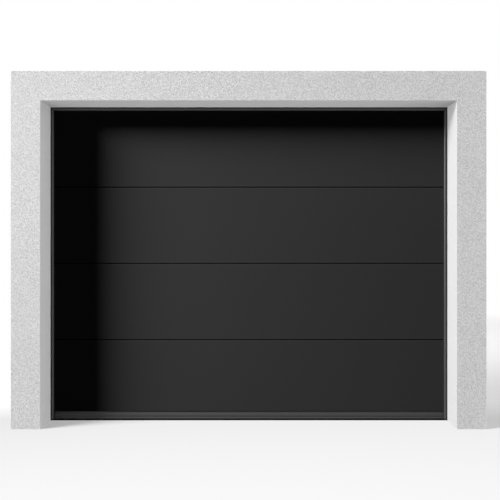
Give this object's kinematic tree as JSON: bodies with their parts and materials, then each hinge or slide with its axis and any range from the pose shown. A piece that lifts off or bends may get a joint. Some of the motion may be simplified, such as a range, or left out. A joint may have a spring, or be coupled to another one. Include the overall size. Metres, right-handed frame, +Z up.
{
  "type": "sectional garage door",
  "caption": "Closed overhead sectional garage door with smooth dark insulated panels in a roughcast wall opening, with tracks, rollers, torsion springs and lift cables behind.",
  "frame": {"origin": "on the floor, under the middle of the closed leaf", "axes": "+X to the right as seen from the street, +Y into the garage, +Z up"},
  "size_m": [3.08, 2.961, 2.32],
  "materials": {
    "roughcast": "rough",
    "leaf_coating": "matt",
    "frame_coating": "matt",
    "rail_coating": "satin",
    "strip_rubber": "matt",
    "floor_seal_rubber": "matt",
    "galvanised_steel": "satin",
    "bright_steel": "satin",
    "cast_aluminium": "satin",
    "roller_nylon": "matt",
    "spring_steel": "satin"
  },
  "bodies": {
    "root": {"pier_left": "roughcast", "pier_right": "roughcast", "lintel": "roughcast", "frame_left": "frame_coating", "frame_right": "frame_coating", "frame_head": "frame_coating", "strip_left": "strip_rubber", "strip_right": "strip_rubber", "strip_head": "strip_rubber", "section_1": "leaf_coating", "section_2": "leaf_coating", "section_3": "leaf_coating", "section_4": "leaf_coating", "end_caps": "galvanised_steel", "bottom_rail": "rail_coating", "bottom_seal": "floor_seal_rubber", "centre_hinges": "galvanised_steel", "end_hinges": "galvanised_steel", "bottom_brackets": "galvanised_steel", "top_brackets": "galvanised_steel", "roller_stems": "bright_steel", "roller_wheels": "roller_nylon", "upright_track_left": "galvanised_steel", "upright_track_right": "galvanised_steel", "bent_track_left": "galvanised_steel", "bent_track_right": "galvanised_steel", "level_track_left": "galvanised_steel", "level_track_right": "galvanised_steel", "gussets": "galvanised_steel", "stiffeners": "galvanised_steel", "hangers": "galvanised_steel", "rear_rail": "galvanised_steel", "torsion_shaft": "bright_steel", "end_bearings": "galvanised_steel", "centre_bearing": "galvanised_steel", "springs": "spring_steel", "spring_cones": "cast_aluminium", "cable_drums": "cast_aluminium", "lift_cables": "bright_steel"}
  },
  "joints": []
}
